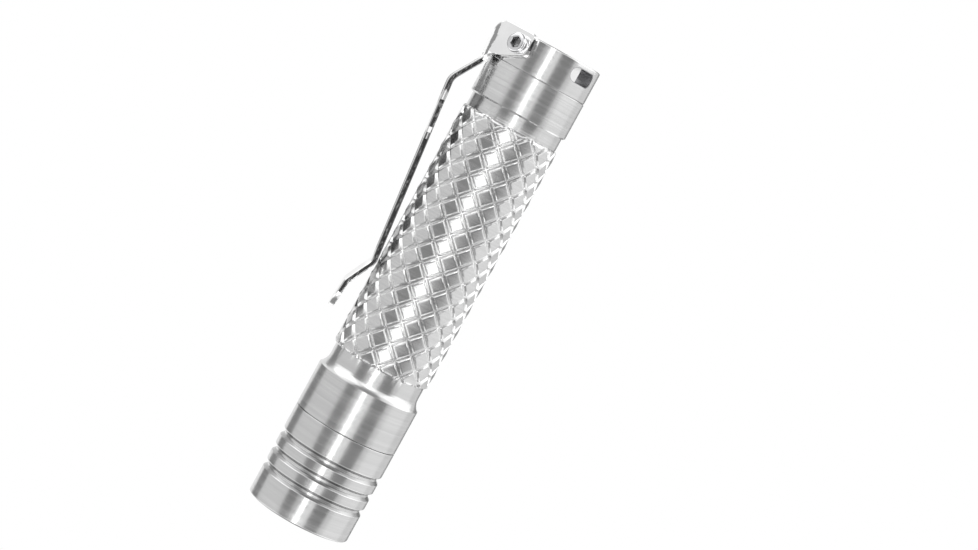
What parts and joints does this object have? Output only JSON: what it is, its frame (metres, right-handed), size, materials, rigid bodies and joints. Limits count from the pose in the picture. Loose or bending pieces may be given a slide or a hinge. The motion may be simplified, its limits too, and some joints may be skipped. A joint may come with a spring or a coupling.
{
  "type": "keychain flashlight",
  "caption": "Slim twist-head keychain flashlight in turned stainless steel, with a diamond-knurled barrel, a grooved head, a screw-on tail cap and a sprung pocket clip.",
  "frame": {"origin": "on the light's axis, in the plane of the bezel's front face", "axes": "+Z along the light's axis from the bezel to the tail; -Y towards the pocket clip; +X completes the right-handed frame"},
  "size_m": [0.015, 0.0169, 0.0676],
  "materials": {
    "steel_turned": "satin, turned",
    "steel_knurled": "satin, knurled",
    "steel_polished": "polished spring steel",
    "brass": "satin",
    "rubber": "matt",
    "circuit_board": "solder mask",
    "component": "matt",
    "ceramic": "fired",
    "glass": "clear, coated",
    "reflector": "bright",
    "white_plastic": "matt",
    "emitter": "phosphor",
    "dome": "clear",
    "wrapper": "printed sleeve",
    "red_wire": "insulation",
    "black_wire": "insulation",
    "foam": "foam"
  },
  "bodies": {
    "tube": {"body_tube": "steel_knurled", "head_o_ring": "rubber", "tail_contact_board": "circuit_board", "tail_retaining_ring": "brass", "tail_spring": "steel_polished"},
    "battery": {"cell_can": "steel_polished", "cell_wrapper": "wrapper", "cell_seal": "white_plastic", "cell_end_plate": "steel_polished"},
    "head": {"head_shell": "steel_turned", "lens_o_ring": "rubber", "lens": "glass", "reflector": "reflector", "led_gasket": "white_plastic", "led_board": "circuit_board", "led_emitter": "emitter", "led_dome": "dome", "heat_sink": "brass", "led_wire_positive": "red_wire", "led_wire_negative": "black_wire", "driver_board": "circuit_board", "driver_inductor": "component", "driver_ic": "component", "driver_capacitors": "ceramic", "driver_resistors": "component", "driver_diode": "component", "positive_contact": "brass", "contact_foam": "foam", "driver_retaining_ring": "brass"},
    "tail_seal": {"tail_o_ring": "rubber"},
    "tail": {"tail_cap": "steel_turned", "clip_screws": "steel_polished", "clip_mount": "steel_polished"},
    "clip": {"clip_arm": "steel_polished"}
  },
  "joints": [
    {"name": "battery_travel", "type": "slide", "parent": "tube", "child": "battery", "axis": [0, 0, -1], "range_m": [0, 0.00225], "deforming": ["tail_spring"]},
    {"name": "head_twist", "type": "hinge", "parent": "battery", "child": "head", "pos_m": [0, 0, 0], "axis": [0, 0, -1], "range_deg": [0, 1080.01]},
    {"name": "tail_seal_travel", "type": "slide", "parent": "tube", "child": "tail_seal", "axis": [0, 0, 1], "range_m": [0, 0.00187]},
    {"name": "tail_cap_turn", "type": "hinge", "parent": "tail_seal", "child": "tail", "pos_m": [0, 0, 0.0651], "axis": [0, 0, 1], "range_deg": [0, 900.01]},
    {"name": "clip_flex", "type": "hinge", "parent": "tail", "child": "clip", "pos_m": [0, -0.0078, 0.0619], "axis": [-1, 0, 0], "range_deg": [0, 5], "stiffness_Nm_per_rad": 0.5}
  ],
  "couplings": [
    {"joint": "head_twist", "follows": "battery_travel", "rad_per_m": 8377.6},
    {"joint": "tail_cap_turn", "follows": "tail_seal_travel", "rad_per_m": 8377.6}
  ]
}
